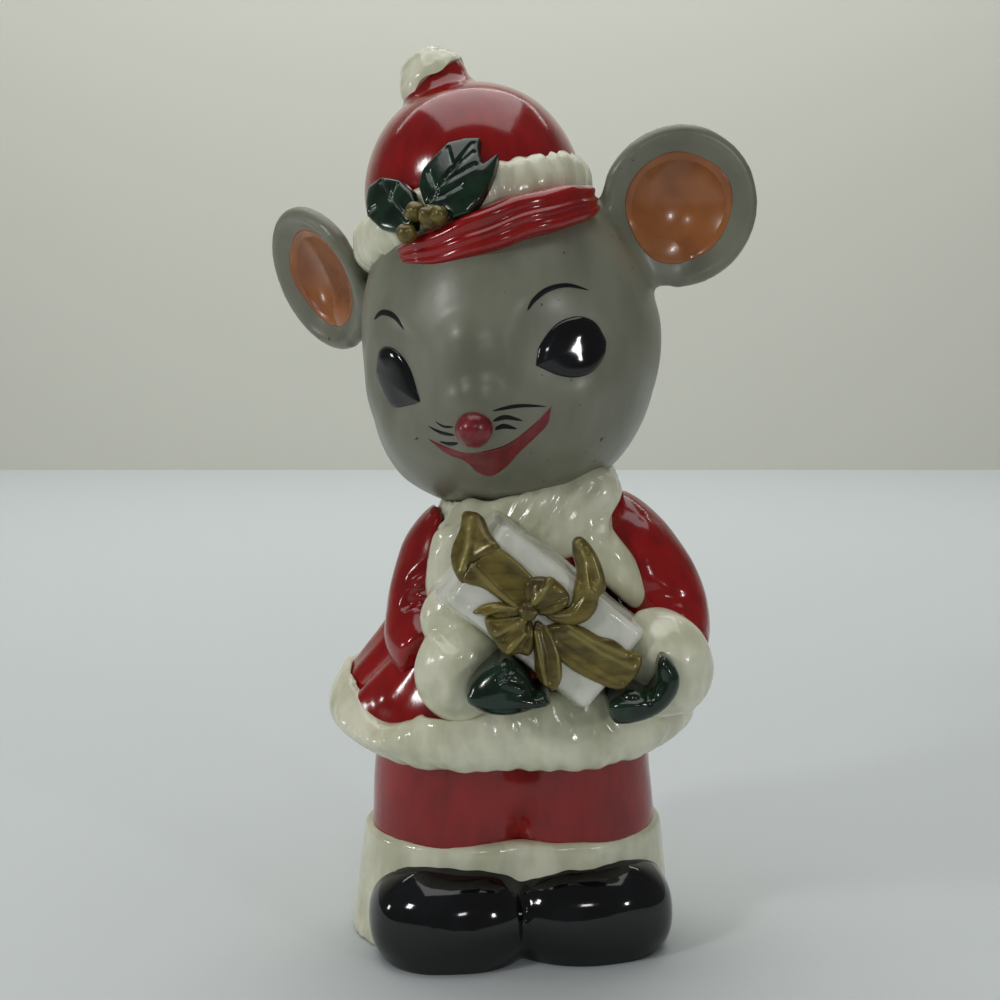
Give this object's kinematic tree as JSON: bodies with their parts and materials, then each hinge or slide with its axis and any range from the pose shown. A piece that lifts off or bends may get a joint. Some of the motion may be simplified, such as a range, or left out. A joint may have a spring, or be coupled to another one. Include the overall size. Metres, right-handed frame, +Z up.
{
  "type": "mouse figurine",
  "caption": "Standing glazed ceramic mouse in a winter coat, trousers, boots and bobbled cap, holding a wrapped gift with a bow; a small shelf ornament.",
  "frame": {"origin": "on the standing face, at the middle of the ankle trim", "axes": "+Z up, -Y out of the figure's front, +X towards the figure's own left"},
  "size_m": [0.069, 0.0514, 0.1269],
  "materials": {
    "red_glaze": "deep red gloss glaze, brushed on",
    "white_glaze": "pearly off-white gloss glaze over carved fur",
    "grey_glaze": "warm grey satin glaze",
    "black_glaze": "black gloss glaze",
    "green_glaze": "dark green gloss glaze",
    "gold_glaze": "olive gold brushed glaze",
    "orange_glaze": "orange-brown gloss glaze"
  },
  "bodies": {
    "root": {"trousers": "red_glaze", "coat_body": "red_glaze", "left_sleeve": "red_glaze", "right_sleeve": "red_glaze", "cap_crown": "red_glaze", "cap_brim": "red_glaze", "nose": "red_glaze", "ankle_trim": "white_glaze", "coat_hem": "white_glaze", "fur_collar": "white_glaze", "left_cuff": "white_glaze", "right_cuff": "white_glaze", "gift_box": "white_glaze", "cap_band": "white_glaze", "pompom": "white_glaze", "head": "grey_glaze", "left_ear": "grey_glaze", "right_ear": "grey_glaze", "left_boot": "black_glaze", "right_boot": "black_glaze", "left_eye": "black_glaze", "right_eye": "black_glaze", "left_mitten": "green_glaze", "right_mitten": "green_glaze", "large_holly_leaf": "green_glaze", "small_holly_leaf": "green_glaze", "gift_ribbon": "gold_glaze", "bow_knot": "gold_glaze", "bow_left_loop": "gold_glaze", "bow_lower_loop": "gold_glaze", "bow_upper_loop": "gold_glaze", "bow_lower_tail": "gold_glaze", "bow_upper_tail": "gold_glaze", "holly_berry_1": "gold_glaze", "holly_berry_2": "gold_glaze", "holly_berry_3": "gold_glaze", "holly_berry_4": "gold_glaze", "left_ear_lining": "orange_glaze", "right_ear_lining": "orange_glaze"}
  },
  "joints": []
}
